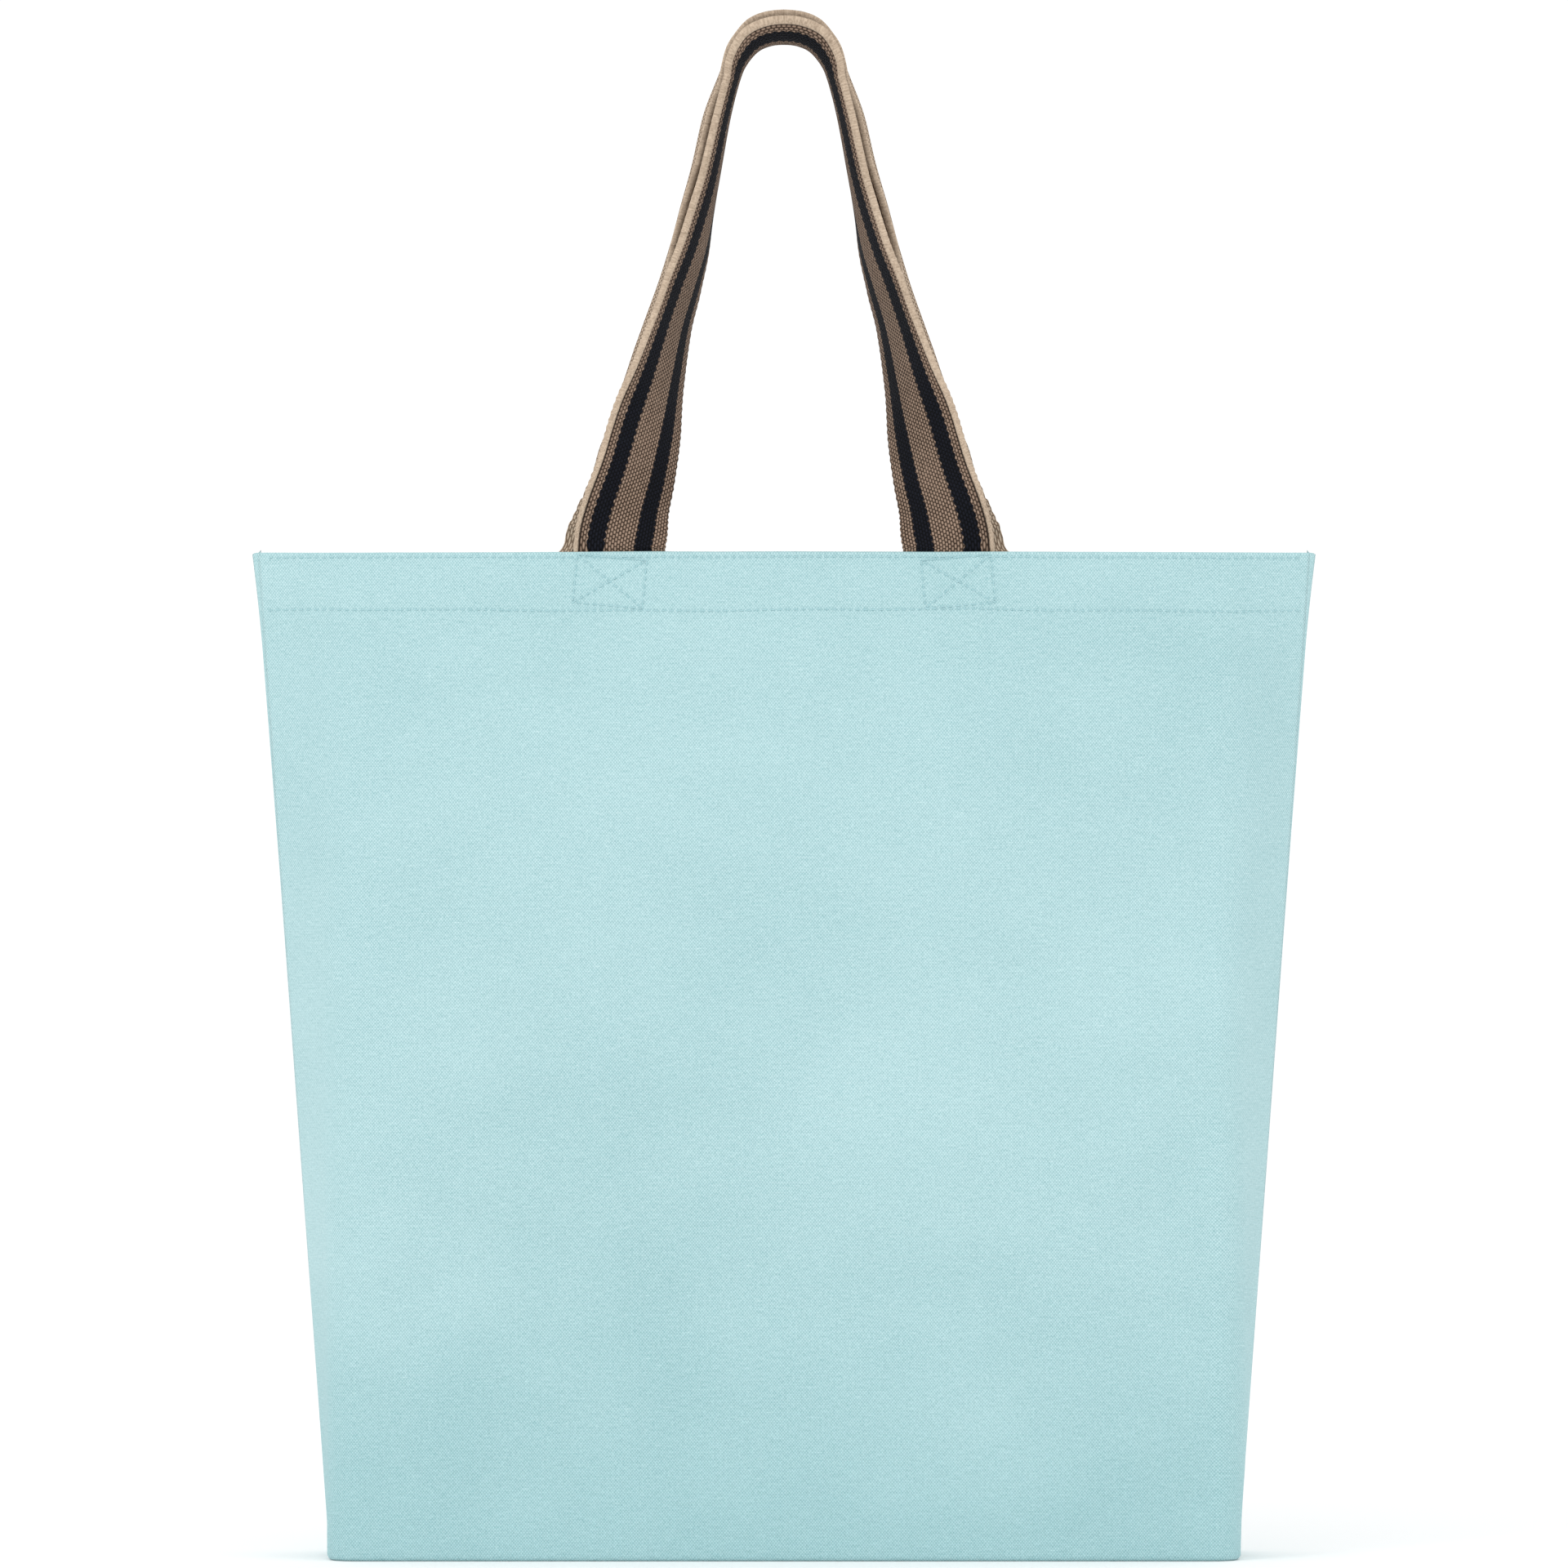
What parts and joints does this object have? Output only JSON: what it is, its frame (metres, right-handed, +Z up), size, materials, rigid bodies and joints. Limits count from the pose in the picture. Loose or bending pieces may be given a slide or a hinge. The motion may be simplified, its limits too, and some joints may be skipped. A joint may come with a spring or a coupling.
{
  "type": "tote bag",
  "caption": "Open-top canvas tote bag with a boxed base, a folded hem and striped webbing carrying handles that swing over the rim.",
  "frame": {"origin": "centre of the base, on the surface that the bag stands on", "axes": "+Z up, through the handles' crown; +X along the rim to the right; -Y is the front"},
  "size_m": [0.44, 0.076, 0.6379],
  "materials": {
    "canvas": "matte plain-weave cotton canvas",
    "webbing": "matte ribbed cotton webbing, two dark stripes",
    "thread": "matte twisted sewing thread",
    "binding": "matte cotton binding tape"
  },
  "bodies": {
    "root": {"front_panel": "canvas", "back_panel": "canvas", "front_left_tail": "webbing", "front_right_tail": "webbing", "back_left_tail": "webbing", "back_right_tail": "webbing", "front_left_box_stitch": "thread", "front_right_box_stitch": "thread", "back_left_box_stitch": "thread", "back_right_box_stitch": "thread", "front_rim_stitch": "thread", "back_rim_stitch": "thread", "front_hem_stitch": "thread", "back_hem_stitch": "thread", "left_side_binding": "binding", "right_side_binding": "binding", "bottom_binding": "binding", "left_corner_binding": "binding", "right_corner_binding": "binding", "left_side_stitch": "thread", "right_side_stitch": "thread", "bottom_stitch": "thread", "left_corner_stitch": "thread", "right_corner_stitch": "thread"},
    "front_handle": {"front_handle": "webbing"},
    "back_handle": {"back_handle": "webbing"}
  },
  "joints": [
    {"name": "front_handle_swing", "type": "hinge", "parent": "root", "child": "front_handle", "pos_m": [0, -0.029, 0.419], "axis": [1, 0, 0], "range_deg": [0, 170]},
    {"name": "back_handle_swing", "type": "hinge", "parent": "root", "child": "back_handle", "pos_m": [0, 0.029, 0.419], "axis": [-1, 0, 0], "range_deg": [0, 170]}
  ]
}
